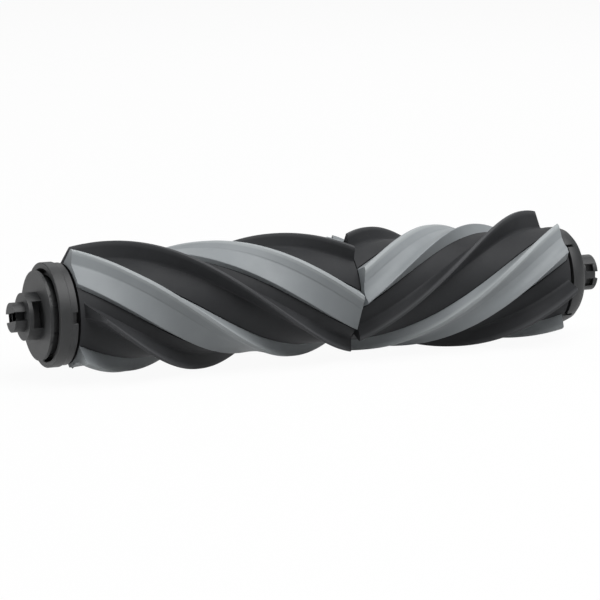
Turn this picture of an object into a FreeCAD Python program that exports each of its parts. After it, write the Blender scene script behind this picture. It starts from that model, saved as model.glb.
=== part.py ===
"""Rubber roller brush of a robot vacuum: a tube core under a rubber sleeve whose two halves carry helical
fins of opposite hand, a drive cap on the right and, on the left, a collar that turns on a steel axle in a
fixed stub.

The roller's axis is +X, +Z is up, and the origin is on the axis at half of the overall length.
"""
import FreeCAD, Part
import os
import Sketcher

doc = FreeCAD.newDocument("roller_brush")

# Driving sizes, in millimetres and degrees

SIZES = [
    ("stub_pin_radius", 4.5, "end pin that drops into the machine's bearing slot"),
    ("stub_pin_length", 3.6, "end pin, from the hub's face"),
    ("stub_slot_height", 2.6, "side pockets and face slot of the end pin"),
    ("stub_slot_depth", 2.7, "side pockets of the end pin, inward from its round wall"),
    ("stub_face_slot", 0.9, "depth of the slot across the end pin's face"),
    ("hub_radius", 7.2, "hub behind the end pin"),
    ("hub_length", 4.4, "hub, from the disc's face"),
    ("hub_flange", 1.3, "full round flange in front of the hub's side pockets"),
    ("hub_pocket_height", 8.0, "side pockets of the hub"),
    ("hub_web", 6.4, "web left between the hub's side pockets"),
    ("stub_turn", 346.0, "turn of the stub's slots and pockets about the axis, from level"),
    ("disc_radius", 13.6, "fixed disc that closes the collar's recess"),
    ("disc_proud", 2.3, "disc face in front of the collar's rim"),
    ("disc_sunk", 1.3, "disc behind the collar's rim"),
    ("disc_plate", 0.9, "rim of the disc, in front of its narrower back"),
    ("disc_back_radius", 12.0, "disc behind its rim"),
    ("stub_boss_radius", 5.6, "boss on the disc's back, next to the bush flange"),
    ("stub_boss_length", 1.0, "boss on the disc's back"),
    ("end_play", 0.1, "axial play of the roller on its axle, at each end of the bush"),
    ("axle_radius", 2.5, "steel axle"),
    ("axle_in_stub", 6.5, "axle pressed into the stub, from the boss's end"),
    ("axle_tail", 0.8, "axle beyond the clip's groove"),
    ("running_clearance", 0.05, "axle to bush, on the radius"),
    ("bush_wall", 1.9, "plain bush"),
    ("bush_flange_radius", 6.4, "bush flange on the recess floor"),
    ("bush_flange", 1.0, "bush flange thickness"),
    ("bush_length", 6.0, "bush, from the recess floor"),
    ("washer_radius", 5.2, "thrust washer behind the bush"),
    ("washer_thickness", 0.6, "thrust washer"),
    ("clip_thickness", 0.7, "retaining clip"),
    ("clip_radius", 4.5, "retaining clip, outside"),
    ("clip_groove_depth", 0.5, "groove in the axle for the clip"),
    ("clip_mouth", 3.4, "open side of the clip"),
    ("collar_radius", 15.9, "collar rim"),
    ("collar_rim", 3.5, "collar rim, along the axis"),
    ("collar_neck", 2.2, "narrower neck behind the rim"),
    ("collar_step", 0.4, "rim over neck, on the radius"),
    ("collar_lip", 1.8, "wall of the rim around the recess"),
    ("collar_edge", 0.5, "bevel of the rim's front edge"),
    ("collar_notch_width", 3.4, "locking notches in the neck"),
    ("collar_notch_start", 0.6, "locking notches, from the neck's front"),
    ("collar_notch_rise", 1.4, "middle of the locking notches above the axis"),
    ("collar_notch_depth", 1.8, "locking notches in the neck"),
    ("spigot_length", 10.0, "collar and cap spigots inside the tube"),
    ("spigot_wall", 2.0, "wall of the hollow spigots"),
    ("tube_radius", 12.2, "core tube"),
    ("tube_wall", 2.0, "core tube"),
    ("key_width", 2.4, "key ribs along the core tube"),
    ("key_height", 1.0, "key ribs along the core tube"),
    ("collar_gap", 0.8, "collar to left sleeve"),
    ("cap_gap", 1.0, "right sleeve to drive cap"),
    ("seam_gap", 0.4, "slit between the fins of the two halves"),
    ("left_length", 91.1, "left half of the sleeve"),
    ("right_length", 73.1, "right half of the sleeve"),
    ("left_margin", 1.4, "bare sleeve before the left half's dark fins"),
    ("right_margin", 0.7, "bare sleeve after the right half's fins and strips"),
    ("sleeve_radius", 15.2, "sleeve between its fins"),
    ("lead", 163.8, "length of one full turn of the fins"),
    ("fin_count", 3, "dark fins, and light strips, on each half"),
    ("fin_tip_radius", 21.4, "dark fins at the roller's two ends"),
    ("fin_waist_radius", 19.3, "dark fins at the seam, where the roller is narrowest"),
    ("fin_middle_radius", 20.0, "dark fins at the middle of each half"),
    ("fin_root_width", 4.2, "dark fins at the sleeve"),
    ("fin_tip_width", 1.3, "dark fins at the tip"),
    ("strip_sunk", 1.2, "strip profile carried below its seat before the seat is cut"),
    ("fin_bevel", 4.6, "bevelled left ends of the dark fins, along the axis"),
    ("strip_bevel", 1.4, "bevelled left ends of the light strips, along the axis"),
    ("left_strip_angle", 52.4, "left strips' fin after the dark fin, around the axis"),
    ("right_strip_angle", 48.4, "right strips' fin after the dark fin, around the axis"),
    ("strip_tip_radius", 20.3, "light strip's fin at the roller's two ends"),
    ("strip_waist_radius", 18.6, "light strip's fin at the seam"),
    ("strip_flare", 18.0, "length over which the strips' fins rise towards the roller's ends"),
    ("strip_tip_width", 1.7, "light strip's fin at the tip"),
    ("strip_back", 8.2, "back of the strip's fin at the sleeve, before its tip"),
    ("strip_crease", 10.5, "foot of the strip's fin on its band, after its tip"),
    ("band_radius", 16.8, "strip's band at the foot of its fin"),
    ("band_slope", 1.6, "lean of the band's free edge, in degrees for each millimetre of height"),
    ("left_band_edge", 40.0, "free edge of the left strips' band, after the fin's tip"),
    ("left_edge_radius", 16.4, "free edge of the left strips' band"),
    ("right_band_edge", 33.6, "free edge of the right strips' band, after the fin's tip"),
    ("right_edge_radius", 18.6, "raised free edge of the right strips' band"),
    ("left_turn", 164.3, "a dark fin at the left half's left end, from +Y"),
    ("right_turn", 222.4, "a dark fin at the right half's left end, from +Y"),
    ("cap_radius", 15.3, "drive cap"),
    ("cap_length", 5.0, "drive cap"),
    ("cap_straight", 1.6, "straight part of the drive cap, next to the sleeve"),
    ("cap_shoulder", 14.5, "drive cap at its outer bevel"),
    ("cap_round", 1.3, "bevel of the drive cap's outer edge"),
    ("cap_tab", 84.0, "locking tabs that reach the sleeve above and below, around the axis"),
    ("cap_slit", 3.4, "slits in the rim beside the locking tabs, around the axis"),
    ("cap_slit_length", 2.0, "slits beside the locking tabs, along the axis"),
    ("cap_slit_depth", 1.8, "slits beside the locking tabs, inward from the rim"),
    ("drive_radius", 5.65, "drive pin"),
    ("drive_length", 8.7, "drive pin"),
    ("drive_pocket_height", 2.4, "pockets above and below the drive pin's side ribs"),
    ("drive_pocket_length", 2.6, "pockets of the drive pin, along the axis"),
    ("drive_pocket_depth", 2.2, "pockets of the drive pin, inward from its round wall"),
    ("drive_pocket_start", 4.65, "pockets of the drive pin, from the cap"),
    ("drive_rib", 2.2, "side ribs between the drive pin's pockets"),
    ("drive_slot_depth", 0.9, "slot across the drive pin's face"),
    ("drive_bore_radius", 2.6, "cored hole in the drive cap's inside"),
]

DERIVED = [
    ("overall_length", "=stub_pin_length + hub_length + disc_proud + collar_rim + collar_neck + collar_gap"
                       " + left_length + right_length + cap_gap + cap_length + drive_length"),
    ("pin_face_x", "=-overall_length / 2"),
    ("hub_face_x", "=pin_face_x + stub_pin_length"),
    ("disc_face_x", "=hub_face_x + hub_length"),
    ("collar_x", "=disc_face_x + disc_proud"),
    ("tube_x", "=collar_x + collar_rim + collar_neck"),
    ("left_x", "=tube_x + collar_gap"),
    ("right_x", "=left_x + left_length"),
    ("cap_x", "=right_x + right_length + cap_gap"),
    ("tube_length", "=collar_gap + left_length + right_length + cap_gap"),
    ("tube_bore", "=tube_radius - tube_wall"),
    ("neck_radius", "=collar_radius - collar_step"),
    ("recess_radius", "=collar_radius - collar_lip"),
    ("bush_bore", "=axle_radius + running_clearance"),
    ("bush_radius", "=bush_bore + bush_wall"),
    ("recess_depth", "=disc_sunk + stub_boss_length + end_play + bush_flange"),
    ("bush_end", "=recess_depth + bush_length"),
    ("washer_start", "=bush_end + end_play"),
    ("clip_start", "=washer_start + washer_thickness"),
    ("axle_end", "=clip_start + clip_thickness + axle_tail"),
    ("axle_start", "=disc_sunk + stub_boss_length - axle_in_stub"),
    ("groove_radius", "=axle_radius - clip_groove_depth"),
    ("spigot_end", "=collar_rim + collar_neck + spigot_length"),
    ("spigot_bore", "=tube_bore - spigot_wall"),
    ("strip_root_radius", "=sleeve_radius - strip_sunk"),
    ("key_radius", "=tube_radius + key_height"),
    ("pattern_step", "=360 / fin_count"),
]

sheet = doc.addObject("Spreadsheet::Sheet", "Sizes")
for row, (alias, value, note) in enumerate(SIZES, start=1):
    sheet.set(f"A{row}", alias)
    sheet.set(f"B{row}", str(value))
    sheet.set(f"C{row}", note)
    sheet.setAlias(f"B{row}", alias)
for row, (alias, formula) in enumerate(DERIVED, start=len(SIZES) + 2):
    sheet.set(f"A{row}", alias)
    sheet.setAlias(f"B{row}", alias)
    sheet.set(f"B{row}", formula)
doc.recompute()

ALIASES = sorted([entry[0] for entry in SIZES + DERIVED], key=len, reverse=True)


def sized(text):
    """A formula in the sheet's words, written so that a feature's property can follow it."""
    words = []
    word = ""
    for letter in text + " ":
        if letter.isalnum() or letter in "_.":
            word += letter
            continue
        words.append(f"Sizes.{word}" if word in ALIASES else word)
        words.append(letter)
        word = ""
    return "".join(words).strip()


def number(text):
    """What a formula in the sheet's words comes to."""
    return float(sheet.evalExpression(sized(text)))


def bind(feature, **formulas):
    """Ties properties of a feature to formulas in the sheet's words."""
    for name, formula in formulas.items():
        feature.setExpression(name, sized(formula))


def new_body(label, along="0", turned=None):
    """An empty body, placed along the roller's axis and, where wanted, turned about it."""
    body = doc.addObject("PartDesign::Body", label)
    body.Label = label
    if turned is not None:
        body.Placement = FreeCAD.Placement(FreeCAD.Vector(), FreeCAD.Vector(1, 0, 0), number(turned))
        body.setExpression(".Placement.Rotation.Angle", sized(f"({turned}) * 1deg"))
    body.setExpression(".Placement.Base.x", sized(along))
    return body


def origin(body, role):
    """One of the body's own origin planes or axes."""
    return next(feature for feature in body.Origin.OriginFeatures if feature.Role == role)


def polar(radius, angle):
    """A point around the axis, for sketches that look along it."""
    return (f"({radius}) * cos(({angle}) * 1deg)", f"({radius}) * sin(({angle}) * 1deg)")


def new_sketch(body, name, role, offset=None):
    """A sketch on one of the body's planes, moved out along the plane's normal where an offset is given."""
    sketch = body.newObject("Sketcher::SketchObject", name)
    sketch.AttachmentSupport = [(origin(body, role), "")]
    sketch.MapMode = "FlatFace"
    if offset is not None:
        sketch.setExpression(".AttachmentOffset.Base.z", sized(offset))
    return sketch


def outline(sketch, corners):
    """A closed outline of straight sides through corners given as pairs of formulas."""
    points = [FreeCAD.Vector(number(across), number(up), 0) for across, up in corners]
    first = sketch.GeometryCount
    count = len(points)
    for side, start in enumerate(points):
        sketch.addGeometry(Part.LineSegment(start, points[(side + 1) % count]))
    for side, (across, up) in enumerate(corners):
        before = first + (side - 1) % count
        sketch.addConstraint(Sketcher.Constraint("Coincident", before, 2, first + side, 1))
        place = sketch.addConstraint(Sketcher.Constraint("DistanceX", first + side, 1, points[side].x))
        sketch.setExpression(f"Constraints[{place}]", sized(across))
        place = sketch.addConstraint(Sketcher.Constraint("DistanceY", first + side, 1, points[side].y))
        sketch.setExpression(f"Constraints[{place}]", sized(up))


def turned_profile(body, kind, name, corners):
    """A profile of (along, radius) formulas, turned once around the axis to add or to cut."""
    sketch = new_sketch(body, f"{name}_profile", "XZ_Plane")
    outline(sketch, corners)
    feature = body.newObject(kind, name)
    feature.Profile = sketch
    feature.ReferenceAxis = (sketch, ["H_Axis"])
    feature.Angle = 360
    return feature


def box_corners(left, right, low, high):
    """The four corners of an upright rectangle."""
    return [(left, low), (right, low), (right, high), (left, high)]


def side_pockets(body, name, along, length, heights, inner, outer):
    """Pockets sunk into both sides of a round piece, from the inner to the outer distance off its axis."""
    sketch = new_sketch(body, f"{name}_outline", "YZ_Plane", along)
    for low, high in heights:
        outline(sketch, box_corners(inner, outer, low, high))
        outline(sketch, box_corners(f"-({outer})", f"-({inner})", low, high))
    pocket = body.newObject("PartDesign::Pocket", name)
    pocket.Profile = sketch
    pocket.Reversed = True
    bind(pocket, Length=length)
    return pocket


def round_pattern(body, name, feature):
    """Repeats a feature evenly about the axis."""
    pattern = body.newObject("PartDesign::PolarPattern", name)
    pattern.Originals = [feature]
    pattern.Axis = (origin(body, "X_Axis"), [""])
    pattern.Angle = 360
    pattern.Refine = False
    bind(pattern, Occurrences="fin_count")
    body.Tip = pattern


# Fixed end: the stub that sits in the machine, with its steel axle, washer and clip

stub = new_body("bearing_stub", "collar_x", "stub_turn")
turned_profile(stub, "PartDesign::Revolution", "stub_form", [
    ("axle_start", "0"),
    ("axle_start", "axle_radius"),
    ("disc_sunk + stub_boss_length", "axle_radius"),
    ("disc_sunk + stub_boss_length", "stub_boss_radius"),
    ("disc_sunk", "stub_boss_radius"),
    ("disc_sunk", "disc_back_radius"),
    ("disc_plate - disc_proud", "disc_back_radius"),
    ("disc_plate - disc_proud", "disc_radius"),
    ("-disc_proud", "disc_radius"),
    ("-disc_proud", "hub_radius"),
    ("-disc_proud - hub_length", "hub_radius"),
    ("-disc_proud - hub_length", "stub_pin_radius"),
    ("-disc_proud - hub_length - stub_pin_length", "stub_pin_radius"),
    ("-disc_proud - hub_length - stub_pin_length", "0"),
])
side_pockets(stub, "hub_pockets", "-disc_proud - hub_length + hub_flange", "hub_length - hub_flange",
             [("-hub_pocket_height / 2", "hub_pocket_height / 2")], "hub_web / 2", "hub_radius + 1")
side_pockets(stub, "pin_pockets", "-disc_proud - hub_length - stub_pin_length", "stub_pin_length",
             [("-stub_slot_height / 2", "stub_slot_height / 2")],
             "stub_pin_radius - stub_slot_depth", "stub_pin_radius + 1")
face_slot = new_sketch(stub, "face_slot_outline", "YZ_Plane", "-disc_proud - hub_length - stub_pin_length")
outline(face_slot, box_corners("-stub_pin_radius - 1", "stub_pin_radius + 1",
                               "-stub_slot_height / 2", "stub_slot_height / 2"))
slot = stub.newObject("PartDesign::Pocket", "face_slot")
slot.Profile = face_slot
slot.Reversed = True
bind(slot, Length="stub_face_slot")

axle = new_body("axle_pin", "collar_x")
turned_profile(axle, "PartDesign::Revolution", "axle_form", [
    ("axle_start", "0"),
    ("axle_end", "0"),
    ("axle_end", "axle_radius"),
    ("clip_start + clip_thickness", "axle_radius"),
    ("clip_start + clip_thickness", "groove_radius"),
    ("clip_start", "groove_radius"),
    ("clip_start", "axle_radius"),
    ("axle_start", "axle_radius"),
])

washer = new_body("thrust_washer", "collar_x")
turned_profile(washer, "PartDesign::Revolution", "washer_form",
               box_corners("washer_start", "clip_start", "axle_radius", "washer_radius"))

clip = new_body("retaining_clip", "collar_x")
turned_profile(clip, "PartDesign::Revolution", "clip_form",
               box_corners("clip_start", "clip_start + clip_thickness", "groove_radius", "clip_radius"))
clip_mouth = new_sketch(clip, "clip_mouth_outline", "YZ_Plane", "clip_start")
outline(clip_mouth, box_corners("-clip_mouth / 2", "clip_mouth / 2", "-clip_radius - 1", "0"))
mouth = clip.newObject("PartDesign::Pocket", "clip_opening")
mouth.Profile = clip_mouth
mouth.Reversed = True
bind(mouth, Length="clip_thickness")

# Turning end: the flanged bush and the collar that carries it

bush = new_body("end_bush", "collar_x")
turned_profile(bush, "PartDesign::Revolution", "bush_form", [
    ("recess_depth - bush_flange", "bush_bore"),
    ("bush_end", "bush_bore"),
    ("bush_end", "bush_radius"),
    ("recess_depth", "bush_radius"),
    ("recess_depth", "bush_flange_radius"),
    ("recess_depth - bush_flange", "bush_flange_radius"),
])

collar = new_body("left_collar", "collar_x")
turned_profile(collar, "PartDesign::Revolution", "collar_form", [
    ("0", "recess_radius"),
    ("0", "collar_radius - collar_edge"),
    ("collar_edge", "collar_radius"),
    ("collar_rim", "collar_radius"),
    ("collar_rim", "neck_radius"),
    ("collar_rim + collar_neck", "neck_radius"),
    ("collar_rim + collar_neck", "tube_bore"),
    ("spigot_end", "tube_bore"),
    ("spigot_end", "spigot_bore"),
    ("bush_end", "spigot_bore"),
    ("bush_end", "bush_radius"),
    ("recess_depth", "bush_radius"),
    ("recess_depth", "recess_radius"),
])
side_pockets(collar, "neck_notches", "collar_rim + collar_notch_start", "collar_neck - collar_notch_start",
             [("collar_notch_rise - collar_notch_width / 2", "collar_notch_rise + collar_notch_width / 2")],
             "neck_radius - collar_notch_depth", "neck_radius + 1")

# Core tube, with key ribs that keep the sleeves from slipping round

tube = new_body("core_tube", "tube_x")
turned_profile(tube, "PartDesign::Revolution", "tube_form",
               box_corners("0", "tube_length", "tube_bore", "tube_radius"))
key_sketch = new_sketch(tube, "key_outline", "YZ_Plane", "collar_gap")
outline(key_sketch, box_corners("-key_width / 2", "key_width / 2",
                                "tube_radius - tube_wall / 2", "key_radius"))
key = tube.newObject("PartDesign::Pad", "key_rib")
key.Profile = key_sketch
bind(key, Length="left_length + right_length")
round_pattern(tube, "key_ribs", key)


# Rubber: one dark sleeve with fins of opposite hand on its two halves, and the light strips bonded to it

HALVES = [
    ("left", "left_x", "left_length", "left_turn", False),
    ("right", "right_x + seam_gap", "right_length - seam_gap - right_margin", "right_turn", True),
]


def half_width(width, radius):
    """Half of the angle that a width takes up around the axis, in degrees."""
    return f"({width} / {radius} * 90 / pi)"


def helical_sweep(body, name, sketch, length, left_handed):
    """Carries a profile along the roller while it turns about the axis."""
    sweep = body.newObject("PartDesign::AdditiveHelix", name)
    sweep.Profile = sketch
    sweep.ReferenceAxis = (origin(body, "X_Axis"), [""])
    sweep.Mode = "pitch-height-angle"
    sweep.LeftHanded = left_handed
    sweep.HasBeenEdited = True
    sweep.Refine = False
    bind(sweep, Pitch="lead", Height=length)
    return sweep


def end_bevel(body, name, along, tip, bevel):
    """Cuts the left ends of fins back along a cone, from the sleeve to their tips."""
    bevel = turned_profile(body, "PartDesign::Groove", name, [
        (f"{along} - 1", "sleeve_radius"),
        (along, "sleeve_radius"),
        (f"{along} + {bevel} * ({tip} + 1 - sleeve_radius) / ({tip} - sleeve_radius)", f"{tip} + 1"),
        (f"{along} - 1", f"{tip} + 1"),
    ])
    bevel.Refine = False


sleeve = new_body("rubber_sleeve", "left_x")
wall = turned_profile(sleeve, "PartDesign::Revolution", "wall",
                      box_corners("0", "left_length + right_length", "tube_radius", "sleeve_radius"))
fin_root = half_width("fin_root_width", "strip_root_radius")
fin_tip = half_width("fin_tip_width", "fin_tip_radius")
for side, along, length, turn, left_handed in HALVES:
    if side == "left":
        along = f"{along} + left_margin"
        length = f"{length} - left_margin"
        turn = f"{turn} + 360 * left_margin / lead"
    fin_sketch = new_sketch(sleeve, f"{side}_fin_outline", "YZ_Plane", f"{along} - left_x")
    outline(fin_sketch, [
        polar("strip_root_radius", f"{turn} - {fin_root}"),
        polar("fin_tip_radius + 0.3", f"{turn} - {fin_tip}"),
        polar("fin_tip_radius + 0.3", f"{turn} + {fin_tip}"),
        polar("strip_root_radius", f"{turn} + {fin_root}"),
    ])
    doc.recompute()
    fin = helical_sweep(sleeve, f"{side}_fin", fin_sketch, length, left_handed)
    round_pattern(sleeve, f"{side}_fins", fin)
waist = turned_profile(sleeve, "PartDesign::Groove", "waist", [
    ("0", "fin_tip_radius"),
    ("left_length / 2", "fin_middle_radius"),
    ("left_length", "fin_waist_radius"),
    ("left_length + right_length / 2", "fin_middle_radius"),
    ("left_length + right_length", "fin_tip_radius"),
    ("left_length + right_length", "fin_tip_radius + 1"),
    ("0", "fin_tip_radius + 1"),
])
waist.Refine = False
end_bevel(sleeve, "left_end_bevel", "left_margin", "fin_tip_radius", "fin_bevel")
keyway_sketch = new_sketch(sleeve, "keyway_outline", "YZ_Plane")
outline(keyway_sketch, box_corners("-key_width / 2", "key_width / 2", "tube_bore", "key_radius"))
keyway = sleeve.newObject("PartDesign::Pocket", "keyway")
keyway.Profile = keyway_sketch
keyway.Reversed = True
keyway.Refine = False
bind(keyway, Length="left_length + right_length")
round_pattern(sleeve, "keyways", keyway)


def make_strip(label, along, length, turn, left_handed, edge, edge_radius):
    """A light rubber strip of L section: a flat band lying on the sleeve, with a fin along one edge."""
    strip = new_body(label, along, turn)
    section = new_sketch(strip, "section", "YZ_Plane")
    tip_half = half_width("strip_tip_width", "strip_tip_radius")
    outline(section, [
        polar("strip_root_radius", "-strip_back"),
        polar("strip_tip_radius + 0.3", f"-{tip_half}"),
        polar("strip_tip_radius + 0.3", tip_half),
        polar("band_radius", "strip_crease"),
        polar(edge_radius, edge),
        polar("strip_root_radius", f"{edge} + band_slope * ({edge_radius} - strip_root_radius)"),
    ])
    doc.recompute()
    helical_sweep(strip, "strip_form", section, length, left_handed)
    seat = turned_profile(strip, "PartDesign::Groove", "seat",
                          box_corners("-1", f"{length} + 1", "0", "sleeve_radius"))
    seat.Refine = False
    outer_end, rise, seam_end = (length, f"{length} - strip_flare", "0")
    if label.startswith("left"):
        outer_end, rise, seam_end = ("0", "strip_flare", length)
    flare = turned_profile(strip, "PartDesign::Groove", "flare", [
        (outer_end, "strip_tip_radius"),
        (rise, "strip_waist_radius + 0.3"),
        (seam_end, "strip_waist_radius"),
        (seam_end, "strip_tip_radius + 1"),
        (outer_end, "strip_tip_radius + 1"),
    ])
    flare.Refine = False
    end_bevel(strip, "end_bevel", "0", "strip_tip_radius", "strip_bevel")


for side, along, length, turn, left_handed in HALVES:
    for index in range(int(number("fin_count"))):
        place = f"{turn} + {side}_strip_angle + {index} * pattern_step"
        make_strip(f"{side}_strip_{index + 1}", along, length, place, left_handed,
                   f"{side}_band_edge", f"{side}_edge_radius")

# Drive end: a cap plugged into the tube, with the slotted pin that the machine turns

cap = new_body("drive_cap", "cap_x")
turned_profile(cap, "PartDesign::Revolution", "cap_form", [
    ("cap_length / 2", "0"),
    ("cap_length / 2", "drive_bore_radius"),
    ("0", "drive_bore_radius"),
    ("0", "spigot_bore"),
    ("-spigot_length", "spigot_bore"),
    ("-spigot_length", "tube_bore"),
    ("0", "tube_bore"),
    ("0", "cap_radius"),
    ("cap_straight", "cap_radius"),
    ("cap_length - cap_round", "cap_shoulder"),
    ("cap_length", "cap_shoulder - cap_round"),
    ("cap_length", "drive_radius"),
    ("cap_length + drive_length", "drive_radius"),
    ("cap_length + drive_length", "0"),
])
for name, inner, outer in [
    ("top_tab", "key_radius", "cap_radius"),
    ("bottom_tab", "-cap_radius", "-key_radius"),
]:
    tab = turned_profile(cap, "PartDesign::Revolution", name,
                         box_corners("-cap_gap", "cap_straight / 2", inner, outer))
    tab.Midplane = True
    bind(tab, Angle="cap_tab")
slit_sketch = new_sketch(cap, "slit_outline", "YZ_Plane")
for middle in ("90 + (cap_tab + cap_slit) / 2", "90 - (cap_tab + cap_slit) / 2",
               "270 + (cap_tab + cap_slit) / 2", "270 - (cap_tab + cap_slit) / 2"):
    outline(slit_sketch, [
        polar("cap_radius - cap_slit_depth", f"{middle} - cap_slit / 2"),
        polar("cap_radius + 1", f"{middle} - cap_slit / 2"),
        polar("cap_radius + 1", f"{middle} + cap_slit / 2"),
        polar("cap_radius - cap_slit_depth", f"{middle} + cap_slit / 2"),
    ])
slits = cap.newObject("PartDesign::Pocket", "rim_slits")
slits.Profile = slit_sketch
slits.Reversed = True
bind(slits, Length="cap_slit_length")
side_pockets(cap, "drive_pockets", "cap_length + drive_pocket_start", "drive_pocket_length",
             [("drive_rib / 2", "drive_rib / 2 + drive_pocket_height"),
              ("-drive_rib / 2 - drive_pocket_height", "-drive_rib / 2")],
             "drive_radius - drive_pocket_depth", "drive_radius + 1")
drive_slot = new_sketch(cap, "drive_slot_outline", "YZ_Plane",
                        "cap_length + drive_length - drive_slot_depth")
outline(drive_slot, box_corners("-drive_radius - 1", "drive_radius + 1",
                                "-drive_rib / 2", "drive_rib / 2"))
cross_slot = cap.newObject("PartDesign::Pocket", "drive_slot")
cross_slot.Profile = drive_slot
cross_slot.Reversed = True
bind(cross_slot, Length="drive_slot_depth")

doc.recompute()

# Every piece is sound before it is written

bodies = [item for item in doc.Objects if item.isDerivedFrom("PartDesign::Body")]
for item in doc.Objects:
    faults = [state for state in item.State if state in ("Invalid", "Error")]
    if faults:
        raise RuntimeError(f"{item.Label}: {faults}")
for body in bodies:
    if body.Shape.isNull() or not body.Shape.isValid() or len(body.Shape.Solids) != 1:
        raise RuntimeError(f"{body.Label} is not one sound solid")

os.makedirs("parts", exist_ok=True)
for body in bodies:
    body.Shape.exportStep(f"parts/{body.Label}.step")
    print(f"{body.Label}: {body.Shape.Volume:.1f} mm3")
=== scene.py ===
"""Rubber roller brush of a robot vacuum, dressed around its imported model: a moulded rubber sleeve with
helical fins of opposite hand, light rubber strips, plastic ends and the steel parts inside. Metres, the axis
along +X and +Z up."""
import bmesh
import bpy
import math
from mathutils import Matrix, Vector


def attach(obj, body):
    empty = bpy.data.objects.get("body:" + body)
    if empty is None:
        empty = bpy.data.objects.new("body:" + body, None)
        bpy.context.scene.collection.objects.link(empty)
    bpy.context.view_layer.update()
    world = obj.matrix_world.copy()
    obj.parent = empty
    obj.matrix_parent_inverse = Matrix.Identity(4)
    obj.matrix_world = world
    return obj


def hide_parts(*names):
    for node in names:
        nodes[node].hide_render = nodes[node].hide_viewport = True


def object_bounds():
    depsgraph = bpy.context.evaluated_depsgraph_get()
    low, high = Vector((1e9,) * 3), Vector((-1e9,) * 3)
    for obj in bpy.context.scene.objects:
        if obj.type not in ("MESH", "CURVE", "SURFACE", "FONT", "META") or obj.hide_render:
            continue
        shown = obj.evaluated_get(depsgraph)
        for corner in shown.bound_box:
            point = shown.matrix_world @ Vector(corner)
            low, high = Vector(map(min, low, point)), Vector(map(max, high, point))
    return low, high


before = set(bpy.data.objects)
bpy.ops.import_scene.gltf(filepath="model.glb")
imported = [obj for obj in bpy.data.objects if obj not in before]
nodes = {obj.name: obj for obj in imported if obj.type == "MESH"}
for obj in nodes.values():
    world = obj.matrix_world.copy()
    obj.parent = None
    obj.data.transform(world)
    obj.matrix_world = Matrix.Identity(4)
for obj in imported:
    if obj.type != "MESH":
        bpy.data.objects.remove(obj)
cad_low, cad_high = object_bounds()
scene = bpy.context.scene
MM = 0.001

# Axle, thrust washer and retaining clip
# A ground steel pin is pressed into the stub, and a stamped washer and a spring clip keep the roller on it.
# All three lie inside the collar, out of sight once the roller is together.


def linear(hex_colour):
    """An sRGB hex colour as linear red, green, blue and alpha."""
    channels = [int(hex_colour[place:place + 2], 16) / 255 for place in (1, 3, 5)]
    return [c / 12.92 if c <= 0.04045 else ((c + 0.055) / 1.055) ** 2.4 for c in channels] + [1.0]


def add(tree, kind, inputs=None, **settings):
    """A shader node with its settings, its inputs set to plain values or linked to other nodes' outputs."""
    made = tree.nodes.new(kind)
    for name, value in settings.items():
        setattr(made, name, value)
    for socket, value in (inputs or {}).items():
        if isinstance(value, bpy.types.NodeSocket):
            tree.links.new(value, made.inputs[socket])
        else:
            made.inputs[socket].default_value = value
    return made


def new_finish(name):
    """A new material with its node tree, its surface shader and the piece's own coordinates."""
    material = bpy.data.materials.new(name)
    material.use_nodes = True
    tree = material.node_tree
    place = add(tree, "ShaderNodeTexCoord").outputs["Object"]
    return material, tree, tree.nodes["Principled BSDF"], place


def dress(name, material):
    """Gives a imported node, which is shown as it is, its material."""
    nodes[name].data.materials.clear()
    nodes[name].data.materials.append(material)


# Ground steel: bright and smooth, with fine grinding lines round the axis
ground_steel, tree, steel, place = new_finish("ground_steel")
steel.inputs["Base Color"].default_value = linear("#b9bdc0")
steel.inputs["Metallic"].default_value = 1.0
grind_pitch, grind_run = 0.25 * MM, 1000 / 60 * MM
spacing = (1 / grind_pitch, 1 / grind_run, 1 / grind_run)
lines = add(tree, "ShaderNodeMapping", {"Vector": place, "Scale": spacing}).outputs["Vector"]
grinding = add(tree, "ShaderNodeTexNoise", {"Vector": lines, "Scale": 1.0, "Detail": 2.0}).outputs["Fac"]
gloss = add(tree, "ShaderNodeMapRange", {"Value": grinding, "To Min": 0.22, "To Max": 0.38}).outputs["Result"]
tree.links.new(gloss, steel.inputs["Roughness"])

for name in ("axle_pin", "thrust_washer", "retaining_clip"):
    dress(name, ground_steel)

# Bearing stub
# A moulded nylon end piece that stays still in the machine: a disc that closes the collar, a hub with a
# window on each side, and a slotted pin that drops into the bearing slot. The axle is pressed into its back.


def turned(outline, steps=112):
    """A closed round form: an outline of (along, radius) in millimetres, turned once about the axis."""
    shape = bmesh.new()
    corners = [shape.verts.new((along * MM, 0, radius * MM)) for along, radius in outline]
    pairs = [(corner, corners[place - 1]) for place, corner in enumerate(corners)]
    sides = [shape.edges.new(pair) for pair in pairs if pair[0].co.z + pair[1].co.z > 0]
    bmesh.ops.spin(shape, geom=corners + sides, cent=(0, 0, 0), axis=(1, 0, 0), dvec=(0, 0, 0),
                   angle=math.tau, steps=steps, use_merge=True)
    bmesh.ops.remove_doubles(shape, verts=shape.verts, dist=0.001 * MM)
    bmesh.ops.dissolve_degenerate(shape, dist=0.001 * MM, edges=shape.edges)
    bmesh.ops.recalc_face_normals(shape, faces=shape.faces)
    return shape


def piece(name, shape, material, body, slot, *stands_for):
    """The finished object of a mesh: smooth faces, material, CAD body and the nodes that it stands for."""
    mesh = bpy.data.meshes.new(name)
    shape.to_mesh(mesh)
    shape.free()
    for face in mesh.polygons:
        face.use_smooth = True
    made = bpy.data.objects.new(name, mesh)
    scene.collection.objects.link(made)
    made.data.materials.append(material)
    made.modifiers.new("even_faces", "WEIGHTED_NORMAL").keep_sharp = True
    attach(made, body)
    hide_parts(*stands_for)
    return made


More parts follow.
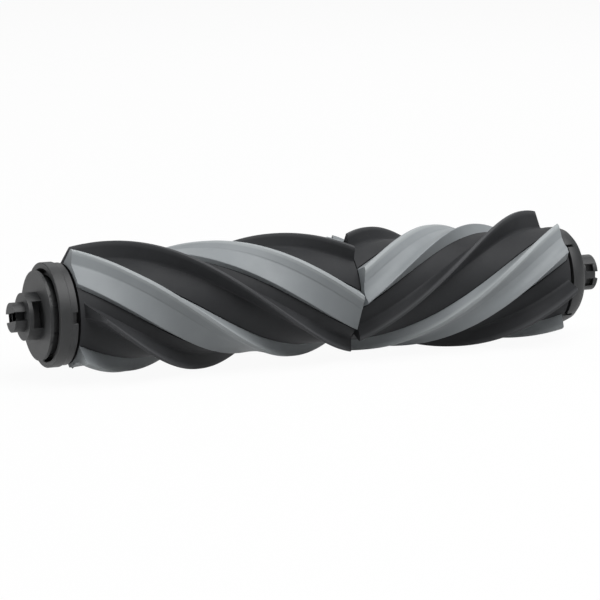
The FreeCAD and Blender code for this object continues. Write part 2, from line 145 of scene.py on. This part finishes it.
def cut_boxes(shape, boxes, turn=0.0):
    """Cuts boxes out of a form: (low corner, high corner) pairs in millimetres, turned about the axis."""
    blank = bpy.data.meshes.new("blank")
    shape.to_mesh(blank)
    shape.free()
    tool = bmesh.new()
    for low, high in boxes:
        middle = (Vector(low) + Vector(high)) / 2 * MM
        size = (Vector(high) - Vector(low)) * MM
        stand = Matrix.Rotation(turn, 4, "X") @ Matrix.Translation(middle) @ Matrix.Diagonal((*size, 1))
        bmesh.ops.create_cube(tool, size=1.0, matrix=stand)
    tool_mesh = bpy.data.meshes.new("tool")
    tool.to_mesh(tool_mesh)
    tool.free()
    work = bpy.data.objects.new("work", blank)
    cutter = bpy.data.objects.new("cutter", tool_mesh)
    for item in (work, cutter):
        scene.collection.objects.link(item)
    pocket = work.modifiers.new("pockets", "BOOLEAN")
    pocket.operation = "DIFFERENCE"
    pocket.solver = "EXACT"
    pocket.use_self = True
    pocket.object = cutter
    bpy.context.view_layer.update()
    result = work.evaluated_get(bpy.context.evaluated_depsgraph_get()).to_mesh()
    cut = bmesh.new()
    cut.from_mesh(result)
    for item in (work, cutter):
        bpy.data.objects.remove(item)
    return cut


def bends(shape, least):
    """The edges that bend by more than an angle in degrees."""
    return [edge for edge in shape.edges if edge.is_manifold and edge.calc_face_angle() > math.radians(least)]


def soften(shape, radius, segments=3, least=30):
    """Rounds every edge sharper than an angle in degrees, by a radius in millimetres."""
    flat = [edge for edge in shape.edges if edge.is_manifold and edge.calc_face_angle() < math.radians(0.5)]
    bmesh.ops.dissolve_edges(shape, edges=flat, use_verts=False)
    bmesh.ops.bevel(shape, geom=bends(shape, least), offset=radius * MM, segments=segments, profile=0.5,
                    affect="EDGES", clamp_overlap=True, material=-1)
    return shape


# Moulded nylon: charcoal, semi-matt, clouded a little, with the fine spark texture of the mould
moulded_nylon, tree, nylon, place = new_finish("moulded_nylon")
nylon.inputs["IOR"].default_value = 1.5
spark_size, spark_depth, cloud_size = 0.35 * MM, 0.05 * MM, 6 * MM
spark = add(tree, "ShaderNodeTexNoise",
            {"Vector": place, "Scale": 1 / spark_size, "Detail": 3.0}).outputs["Fac"]
cloud = add(tree, "ShaderNodeTexNoise",
            {"Vector": place, "Scale": 1 / cloud_size, "Detail": 3.0}).outputs["Fac"]
tone = add(tree, "ShaderNodeMapRange", {"Value": cloud, "From Min": 0.3, "From Max": 0.7}).outputs["Result"]
colour = add(tree, "ShaderNodeMix", {"Factor": tone, "A": linear("#323334"), "B": linear("#393a3b")},
             data_type="RGBA").outputs["Result"]
tree.links.new(colour, nylon.inputs["Base Color"])
gloss = add(tree, "ShaderNodeMapRange", {"Value": spark, "To Min": 0.44, "To Max": 0.6}).outputs["Result"]
tree.links.new(gloss, nylon.inputs["Roughness"])
grain = add(tree, "ShaderNodeBump",
            {"Height": spark, "Strength": 0.15, "Distance": spark_depth}).outputs["Normal"]
tree.links.new(grain, nylon.inputs["Normal"])

pin_face, hub_face, disc_face, disc_back, boss_back = -97.85, -94.25, -89.85, -86.25, -85.25
pin_radius, hub_radius, disc_radius, disc_back_radius, boss_radius = 4.5, 7.2, 13.6, 12.0, 5.6
plate_back = disc_face + 0.9
stub_turn = math.radians(-14)
stub = turned([(pin_face, 0), (pin_face, pin_radius), (hub_face, pin_radius), (hub_face, hub_radius),
               (disc_face, hub_radius), (disc_face, disc_radius), (plate_back, disc_radius),
               (plate_back, disc_back_radius), (disc_back, disc_back_radius), (disc_back, boss_radius),
               (boss_back, boss_radius), (boss_back, 0)])
window_start, window_half, window_web, past_hub = hub_face + 1.3, 4.0, 3.2, 9
slot_half, slot_web, slot_floor, past_face, past_pin = 1.3, 1.8, pin_face + 0.9, pin_face - 1, 6
stub = cut_boxes(stub, [
    ((window_start, window_web, -window_half), (disc_face, past_hub, window_half)),
    ((window_start, -past_hub, -window_half), (disc_face, -window_web, window_half)),
    ((past_face, slot_web, -slot_half), (hub_face, past_pin, slot_half)),
    ((past_face, -past_pin, -slot_half), (hub_face, -slot_web, slot_half)),
    ((past_face, -past_pin, -slot_half), (slot_floor, past_pin, slot_half)),
], stub_turn)
soften(stub, 0.35)
piece("stub_moulding", stub, moulded_nylon, "end_support", "charcoal_plastic", "bearing_stub")

# End bush
# A flanged plain bearing of self-lubricating acetal, pressed into the collar.
# Only its edge could show in the recess.

# Moulded acetal: milky off-white, with a soft gloss
moulded_acetal, tree, acetal, place = new_finish("moulded_acetal")
acetal.inputs["Base Color"].default_value = linear("#d9d6cc")
flow_size = 1.5 * MM
flow = add(tree, "ShaderNodeTexNoise",
           {"Vector": place, "Scale": 1 / flow_size, "Detail": 2.0}).outputs["Fac"]
gloss = add(tree, "ShaderNodeMapRange", {"Value": flow, "To Min": 0.3, "To Max": 0.42}).outputs["Result"]
tree.links.new(gloss, acetal.inputs["Roughness"])
dress("end_bush", moulded_acetal)

# Left collar
# A moulded nylon ring that plugs into the core tube and turns round the fixed stub. Its rim stands round a
# recess, and the slightly narrower neck behind the rim has a locking notch on each side.
collar_face, rim_back, collar_back, spigot_end = -87.55, -84.05, -81.85, -71.85
rim_radius, neck_radius, recess_radius, recess_floor = 15.9, 15.5, 14.1, -84.15
spigot_radius, spigot_bore, bush_back, bush_bore = 10.2, 8.2, -78.15, 4.45
collar = turned([(collar_face, recess_radius), (collar_face, rim_radius), (rim_back, rim_radius),
                 (rim_back, neck_radius), (collar_back, neck_radius), (collar_back, spigot_radius),
                 (spigot_end, spigot_radius), (spigot_end, spigot_bore), (bush_back, spigot_bore),
                 (bush_back, bush_bore), (recess_floor, bush_bore), (recess_floor, recess_radius)])
notch_start, notch_end, past_collar = rim_back + 0.6, collar_back + 1, 18
notch_low, notch_high, notch_floor = -0.3, 3.1, 13.7
collar = cut_boxes(collar, [
    ((notch_start, notch_floor, notch_low), (notch_end, past_collar, notch_high)),
    ((notch_start, -past_collar, notch_low), (notch_end, -notch_floor, notch_high)),
])
soften(collar, 0.4)
piece("collar_moulding", collar, moulded_nylon, "roller", "charcoal_plastic", "left_collar")

# Core tube
# The extruded plastic tube that carries the rubber, with a nylon moulding plugged into each end.
# It shows only as a dark line in the gap next to the collar.

# Extruded polypropylene: near-black, with faint draw lines along the tube
extruded_core, tree, core, place = new_finish("extruded_polypropylene")
core.inputs["Base Color"].default_value = linear("#1d1e1f")
draw_run, draw_width = 125 * MM, 0.6 * MM
spacing = (1 / draw_run, 1 / draw_width, 1 / draw_width)
lines = add(tree, "ShaderNodeMapping", {"Vector": place, "Scale": spacing}).outputs["Vector"]
drawn = add(tree, "ShaderNodeTexNoise", {"Vector": lines, "Scale": 1.0}).outputs["Fac"]
gloss = add(tree, "ShaderNodeMapRange", {"Value": drawn, "To Min": 0.4, "To Max": 0.6}).outputs["Result"]
tree.links.new(gloss, core.inputs["Roughness"])
dress("core_tube", extruded_core)

# Rubber sleeve
# One dark sleeve moulded over the tube. Each half carries three tapered fins, and the two halves twist
# opposite ways, so that the fins meet in chevrons and sweep dirt to the middle.
sleeve_left, seam, sleeve_right = -81.05, 10.05, 83.15
sleeve_bore, sleeve_radius, seam_radius, lead = 12.4, 15.2, 14.8, 163.8
left_margin, seam_gap, right_margin = 1.4, 0.4, 0.7
fin_start, right_start, right_end = sleeve_left + left_margin, seam + seam_gap, sleeve_right - right_margin
left_turn, right_turn, fin_count, fin_pitch = 164.3, 222.4, 3, 120
fin_radius, fin_middle_radius, fin_seam_radius, fin_slant = 21.4, 20.0, 19.3, 4.6
tip_depth = 0.9


def around(along, radius, degrees):
    """A point on the roller: its place along the axis and radius in millimetres, and its angle from +Y."""
    angle = math.radians(degrees)
    return Vector((along, radius * math.cos(angle), radius * math.sin(angle))) * MM


def reach(vert):
    """A corner's distance from the roller's axis, in millimetres."""
    return math.hypot(vert.co.y, vert.co.z) / MM


def sweep(shape, travel, angle, steps):
    """Sweeps a flat section along the roller in millimetres as it turns by an angle."""
    bmesh.ops.spin(shape, geom=shape.verts[:] + shape.edges[:] + shape.faces[:], cent=(0, 0, 0),
                   axis=(1, 0, 0), dvec=(travel / steps * MM, 0, 0), angle=angle, steps=steps)
    bmesh.ops.recalc_face_normals(shape, faces=shape.faces)
    return shape


def swept(section, start, end, hand, bore=None):
    """A helical form: a section of (radius, degrees, rounding) corners, rounded first and then swept along
    the roller. With a bore, the section is a ring."""
    shape = bmesh.new()
    corners = [shape.verts.new(around(start, radius, degrees)) for radius, degrees, rounding in section]
    shape.faces.new(corners)
    for size in sorted({rounding for radius, degrees, rounding in section if rounding}):
        chosen = [corner for corner, place in zip(corners, section) if place[2] == size]
        bmesh.ops.bevel(shape, geom=chosen, offset=size * MM, segments=4, profile=0.5, affect="VERTICES",
                        clamp_overlap=True, material=-1)
    if bore:
        outer = [loop.vert for loop in next(iter(shape.faces)).loops]
        bmesh.ops.delete(shape, geom=shape.faces[:], context="FACES_ONLY")
        hairline = 0.01
        for depth in (sleeve_radius, bore):
            angles = [math.degrees(math.atan2(vert.co.z, vert.co.y)) for vert in outer]
            inner = [shape.verts.new(around(start, min(depth, reach(vert) - hairline), angle))
                     for vert, angle in zip(outer, angles)]
            for place in range(len(outer)):
                shape.faces.new((outer[place - 1], outer[place], inner[place], inner[place - 1]))
            outer = inner
    length, step_length = end - start, 0.8
    return sweep(shape, length, hand * math.tau * length / lead, round(length / step_length))


def mark_tip_highlights(shape, section_tip):
    """Marks the tips of ribs for their painted highlight, paler than the rest, before they are trimmed."""
    tip_highlight = shape.verts.layers.float.new("tip_highlight")
    for vert in shape.verts:
        vert[tip_highlight] = 1.0 if reach(vert) > section_tip - tip_depth else 0.0


def trim_tips(shape, section_tip, places):
    """Brings the tips of ribs from the section's radius to (along, radius) places, straight between them."""
    for vert in [vert for vert in shape.verts if -tip_depth < reach(vert) - section_tip < 0.1]:
        along = vert.co.x / MM
        tip = places[0][1]
        for (near, near_tip), (far, far_tip) in zip(places, places[1:]):
            if along > near:
                tip = near_tip + (far_tip - near_tip) * min(1, (along - near) / (far - near))
        vert.co.yz *= (reach(vert) - section_tip + tip) / reach(vert)


def lean_ends(shape, start, slant, tip, hand, span=9):
    """Leans the left ends of ribs back from the sleeve's surface to their tips, over a span along it."""
    for vert in shape.verts:
        past = vert.co.x / MM - start
        if reach(vert) > sleeve_radius and past < span:
            shift = slant * (reach(vert) - sleeve_radius) / (tip - sleeve_radius) * (1 - past / span)
            turn = Matrix.Rotation(hand * math.tau * shift / lead, 3, "X")
            vert.co = turn @ vert.co + Vector((shift * MM, 0, 0))


def crisp(shape, least=40):
    """Marks the edges that stay sharp to the eye."""
    for edge in bends(shape, least):
        edge.smooth = False


def join(shape, part):
    """Adds a part's mesh to a shape."""
    mesh = bpy.data.meshes.new("part")
    part.to_mesh(mesh)
    part.free()
    shape.from_mesh(mesh)
    bpy.data.meshes.remove(mesh)


def rubber_finish(name, colours, tip_highlight_colour, bloom_size, grip, roughness):
    """Moulded rubber: matt, with a soft bloom, a fine skin and tips painted paler as a painted highlight."""
    material, tree, rubber, place = new_finish(name)
    bloom = add(tree, "ShaderNodeTexNoise",
                {"Vector": place, "Scale": 1 / bloom_size, "Detail": 4.0}).outputs["Fac"]
    tone = add(tree, "ShaderNodeMapRange",
               {"Value": bloom, "From Min": 0.3, "From Max": 0.7}).outputs["Result"]
    colour = add(tree, "ShaderNodeMix", {"Factor": tone, "A": linear(colours[0]), "B": linear(colours[1])},
                 data_type="RGBA").outputs["Result"]
    # Painted highlight: the marked rib tips are mixed towards a paler colour
    tips = add(tree, "ShaderNodeAttribute", attribute_name="tip_highlight").outputs["Fac"]
    tip_highlight_share = add(tree, "ShaderNodeMapRange",
               {"Value": tips, "From Min": 0.7, "From Max": 1.0}).outputs["Result"]
    colour = add(tree, "ShaderNodeMix", {"Factor": tip_highlight_share, "A": colour, "B": linear(tip_highlight_colour)},
                 data_type="RGBA").outputs["Result"]
    tree.links.new(colour, rubber.inputs["Base Color"])
    skin_size, skin_depth = 0.5 * MM, 0.06 * MM
    skin = add(tree, "ShaderNodeTexNoise",
               {"Vector": place, "Scale": 1 / skin_size, "Detail": 3.0}).outputs["Fac"]
    gloss = add(tree, "ShaderNodeMapRange",
                {"Value": skin, "To Min": roughness[0], "To Max": roughness[1]}).outputs["Result"]
    tree.links.new(gloss, rubber.inputs["Roughness"])
    grain = add(tree, "ShaderNodeBump",
                {"Height": skin, "Strength": grip, "Distance": skin_depth}).outputs["Normal"]
    tree.links.new(grain, rubber.inputs["Normal"])
    return material, rubber


# Moulded dark rubber: charcoal thermoplastic, very matt, faintly mottled by the mould, with a paler grey
# painted highlight on the fin tips
dark_rubber, rubber = rubber_finish("moulded_dark_rubber", ("#2e2f31", "#343537"), "#4b4c4e", 9 * MM, 0.12,
                                    (0.58, 0.74))
rubber.inputs["Specular IOR Level"].default_value = 0.25

root_radius, groove_floor = 15.5, 14.7
foot_half, root_half, tip_half, groove_width, groove_lean = 8.8, 7.0, 1.7, 1.9, 0.3
fin_profile = [(sleeve_radius, -foot_half, 0), (root_radius, -root_half, 0.8), (fin_radius, -tip_half, 0.3),
               (fin_radius, tip_half, 0.3), (root_radius, root_half, 0.8), (sleeve_radius, foot_half, 0)]


def bare_arc(first, last):
    """Bare sleeve between two angles, with a point about every four degrees."""
    spread = round((last - first) / 4)
    return [(sleeve_radius, first + (last - first) * step / spread, 0) for step in range(1, spread)]


def ring_section(turn, grooves):
    """The sleeve's outside: three fins, and between them bare rubber with a parting groove along each side of
    a strip."""
    section = []
    for count in range(fin_count):
        base = turn + count * fin_pitch
        section += [(radius, base + degrees, rounding) for radius, degrees, rounding in fin_profile]
        rest = base + foot_half
        for groove in (base + angle for angle in grooves):
            section += bare_arc(rest, groove - groove_width)
            section += [(sleeve_radius, groove - groove_width, 0),
                        (groove_floor, groove - groove_width + groove_lean, 0),
                        (groove_floor, groove, 0), (sleeve_radius, groove + groove_lean, 0)]
            rest = groove + groove_lean
        section += bare_arc(rest, base + fin_pitch - foot_half)
    return section


left_grooves, right_grooves = (45.6, 95.9), (41.6, 89.0)
first_fin = left_turn + 360 * left_margin / lead
sleeve = swept(ring_section(first_fin, left_grooves), fin_start, seam, 1, sleeve_bore)
# The fin tips are marked for their painted highlight
mark_tip_highlights(sleeve, fin_radius)
trim_tips(sleeve, fin_radius, [(sleeve_left, fin_radius), ((sleeve_left + seam) / 2, fin_middle_radius),
                               (seam, fin_seam_radius)])
lean_ends(sleeve, fin_start, fin_slant, fin_radius, 1)
right_half = swept(ring_section(right_turn, right_grooves), right_start, right_end, -1, sleeve_bore)
mark_tip_highlights(right_half, fin_radius)
trim_tips(right_half, fin_radius, [(seam, fin_seam_radius), ((seam + sleeve_right) / 2, fin_middle_radius),
                                   (sleeve_right, fin_radius)])
join(sleeve, right_half)
for start, end, radius in [(sleeve_left, fin_start, sleeve_radius), (seam, right_start, seam_radius),
                           (right_end, sleeve_right, sleeve_radius)]:
    join(sleeve, turned([(start, sleeve_bore), (start, radius), (end, radius), (end, sleeve_bore)]))
crisp(sleeve)
piece("sleeve_moulding", sleeve, dark_rubber, "roller", "dark_rubber", "rubber_sleeve")

# Light strips
# Six strips of softer, lighter rubber of L section, bonded into the sleeve between the fins: a flat band with
# an upright fin along one edge. Their left ends are cut on a slant, and the three on the right have a raised
# lip along the free edge.

# Moulded light rubber: mid grey, matt and even, a little cooler than the sleeve, with a paler grey painted
# highlight on the strip tips
light_rubber, rubber = rubber_finish("moulded_light_rubber", ("#888d90", "#92979a"), "#a3a8aa", 12 * MM, 0.1,
                                     (0.5, 0.64))
rubber.inputs["IOR"].default_value = 1.48
rubber.inputs["Sheen Weight"].default_value = 0.06

strip_radius, strip_low_radius, strip_seam_radius, strip_slant = 20.3, 18.9, 18.6, 1.4
lip_radius, heel_radius, seat_radius, end_taper, lip_taper = 18.6, 17.0, 15.0, 18, 30
fin_edge = [(seat_radius, -7.3, 0), (strip_radius, -2.4, 0.35), (strip_radius, 2.4, 0.35),
            (heel_radius, 12.0, 0.4)]
left_edge = [(16.4, 40.0, 0.3), (seat_radius, 42.2, 0)]
right_edge = [(16.7, 24.0, 1.5), (lip_radius, 32.2, 0.25), (lip_radius, 33.6, 0.3), (seat_radius, 39.4, 0)]
seat = [(seat_radius, degrees, 0) for degrees in (34, 26, 18, 10, 2)]
left_tips = [(sleeve_left, strip_radius), (sleeve_left + end_taper, strip_low_radius),
             (seam, strip_seam_radius)]
right_tips = [(seam, strip_seam_radius), (right_end - end_taper, strip_low_radius), (right_end, 19.0)]
right_lips = [(seam, lip_radius), (right_end - lip_taper, 18.2), (right_end, 17.7)]
for side, start, end, turn, hand, free_edge, tips in [
        ("left", sleeve_left, seam, left_turn + 52.4, 1, left_edge, left_tips),
        ("right", right_start, right_end, right_turn + 48.4, -1, right_edge, right_tips)]:
    for count in range(fin_count):
        base = turn + count * fin_pitch
        strip = swept([(radius, base + degrees, rounding) for radius, degrees, rounding
                       in fin_edge + free_edge + seat], start, end, hand)
        # The strip's fin tip is marked for its painted highlight
        mark_tip_highlights(strip, strip_radius)
        if side == "right":
            trim_tips(strip, lip_radius, right_lips)
        trim_tips(strip, strip_radius, tips)
        lean_ends(strip, start, strip_slant, strip_radius, hand)
        crisp(strip)
        name = f"{side}_strip_{count + 1}"
        piece(f"{name}_moulding", strip, light_rubber, "roller", "light_rubber", name)

# Drive cap
# A moulded nylon cap plugged into the tube's right end. The machine turns its pin, which has a slot across
# the face and pockets in its sides. Two broad tabs on its rim, with a slit at each end, meet the sleeve.
cap_face, cap_end, pin_end, plug_end = 84.15, 89.15, 97.85, 74.15
cap_radius, shoulder_radius, front_radius, drive_radius = 15.3, 14.5, 13.2, 5.65
rim_end, shoulder_start, plug_floor = cap_face + 1.6, cap_end - 1.3, cap_face + 2.5


def sector(outline, first, last, steps=28):
    """Part of a round form: an outline of (along, radius) in millimetres, turned between two angles."""
    shape = bmesh.new()
    shape.faces.new([shape.verts.new(around(along, radius, first)) for along, radius in outline])
    return sweep(shape, 0, math.radians(last - first), steps)


cap = turned([(plug_end, spigot_bore), (plug_end, spigot_radius), (cap_face, spigot_radius),
              (cap_face, cap_radius), (rim_end, cap_radius), (shoulder_start, shoulder_radius),
              (cap_end, front_radius), (cap_end, drive_radius), (pin_end, drive_radius), (pin_end, 0),
              (plug_floor, 0), (plug_floor, spigot_bore)])
rib_half, pocket_half, pocket_floor, past_drive = 1.1, 3.5, 3.45, 7
pocket_start, pocket_end = cap_end + 4.65, cap_end + 7.25
drive_slot_floor, past_end = pin_end - 0.9, pin_end + 1
cap = cut_boxes(cap, [
    ((pocket_start, pocket_floor, rib_half), (pocket_end, past_drive, pocket_half)),
    ((pocket_start, -past_drive, rib_half), (pocket_end, -pocket_floor, pocket_half)),
    ((pocket_start, pocket_floor, -pocket_half), (pocket_end, past_drive, -rib_half)),
    ((pocket_start, -past_drive, -pocket_half), (pocket_end, -pocket_floor, -rib_half)),
    ((drive_slot_floor, -past_drive, -rib_half), (past_end, past_drive, rib_half)),
])
slit_start, slit_end, slit_half, slit_floor, past_cap = cap_face - 1, cap_face + 2, 0.45, 13.5, 17
for slit_turn in (43.7, -43.7):
    cap = cut_boxes(cap, [
        ((slit_start, -slit_half, slit_floor), (slit_end, slit_half, past_cap)),
        ((slit_start, -slit_half, -past_cap), (slit_end, slit_half, -slit_floor)),
    ], math.radians(slit_turn))
soften(cap, 0.4)
tab_face, tab_root, tab_floor, tab_half = cap_face - 1, cap_face + 0.8, 13.2, 42
tab_outline = [(tab_face, tab_floor), (tab_face, cap_radius), (tab_root, cap_radius), (tab_root, tab_floor)]
for middle in (90, 270):
    tab = sector(tab_outline, middle - tab_half, middle + tab_half)
    soften(tab, 0.3)
    join(cap, tab)
piece("cap_moulding", cap, moulded_nylon, "roller", "charcoal_plastic", "drive_cap")

# Studio
# A plain white floor under soft lamps, with the camera at the photograph's angle.
floor_mesh = bpy.data.meshes.new("floor")
floor_shape = bmesh.new()
bmesh.ops.create_grid(floor_shape, x_segments=1, y_segments=1, size=6.0,
                      matrix=Matrix.Translation((0, 0, cad_low.z - 0.02 * MM)))
floor_shape.to_mesh(floor_mesh)
floor_shape.free()
floor = bpy.data.objects.new("floor", floor_mesh)
scene.collection.objects.link(floor)

# Matt white paper: white to the camera and in reflections, with a faint shadow
paper = bpy.data.materials.new("white_paper")
paper.use_nodes = True
tree = paper.node_tree
tree.nodes.remove(tree.nodes["Principled BSDF"])
rays = add(tree, "ShaderNodeLightPath").outputs
seen = add(tree, "ShaderNodeMath", {0: rays["Is Camera Ray"], 1: rays["Is Glossy Ray"]},
           operation="MAXIMUM").outputs[0]
seen = add(tree, "ShaderNodeMath", {0: seen, 1: rays["Is Transmission Ray"]}, operation="MAXIMUM").outputs[0]
share = add(tree, "ShaderNodeMath", {0: seen, 1: 0.9}, operation="MULTIPLY").outputs[0]
matt = add(tree, "ShaderNodeBsdfDiffuse", {"Color": linear("#b4b4b4")}).outputs["BSDF"]
white = add(tree, "ShaderNodeEmission", {"Strength": 1.05}).outputs["Emission"]
mixed = add(tree, "ShaderNodeMixShader", {"Fac": share, 1: matt, 2: white}).outputs["Shader"]
tree.links.new(mixed, tree.nodes["Material Output"].inputs["Surface"])
floor.data.materials.append(paper)

world = bpy.data.worlds.new("studio")
scene.world = world
world.use_nodes = True
tree = world.node_tree
backdrop = tree.nodes["Background"]
rays = add(tree, "ShaderNodeLightPath").outputs
seen = add(tree, "ShaderNodeMath", {0: rays["Is Camera Ray"], 1: rays["Is Transmission Ray"]},
           operation="MAXIMUM").outputs[0]
level = add(tree, "ShaderNodeMapRange", {"Value": seen, "To Min": 0.08, "To Max": 1.0}).outputs["Result"]
tree.links.new(level, backdrop.inputs["Strength"])
backdrop.inputs["Color"].default_value = (1, 1, 1, 1)

for name, spot, power, size in [("key_lamp", (0.25, -0.4, 1.0), 16.0, 1.1),
                                ("left_lamp", (-1.0, 0.2, 0.25), 3.4, 0.4),
                                ("back_lamp", (0.4, 0.7, 0.5), 1.5, 0.6)]:
    lamp = bpy.data.lights.new(name, "AREA")
    lamp.energy = power
    lamp.size = size
    holder = bpy.data.objects.new(name, lamp)
    holder.location = spot
    holder.rotation_euler = (-Vector(spot)).to_track_quat("-Z", "Y").to_euler()
    scene.collection.objects.link(holder)

view_azimuth, view_elevation, view_distance = math.radians(-23.59), math.radians(10.55), 1.08465
view_middle, view_right, view_down = collar_face + 85.58, 1.4, 1.713
level_reach = math.cos(view_elevation)
sight = Vector((math.sin(view_azimuth) * level_reach, -math.cos(view_azimuth) * level_reach,
                math.sin(view_elevation)))
lens = bpy.data.cameras.new("camera")
lens.lens = 210.14
camera = bpy.data.objects.new("camera", lens)
camera.rotation_euler = (-sight).to_track_quat("-Z", "Y").to_euler()
sideways, upward = camera.rotation_euler.to_matrix().col[0], camera.rotation_euler.to_matrix().col[1]
aim = Vector((view_middle, 0, 0)) * MM - sideways * view_right * MM - upward * view_down * MM
camera.location = aim + sight * view_distance
scene.collection.objects.link(camera)
scene.camera = camera
scene.view_settings.view_transform = "Standard"
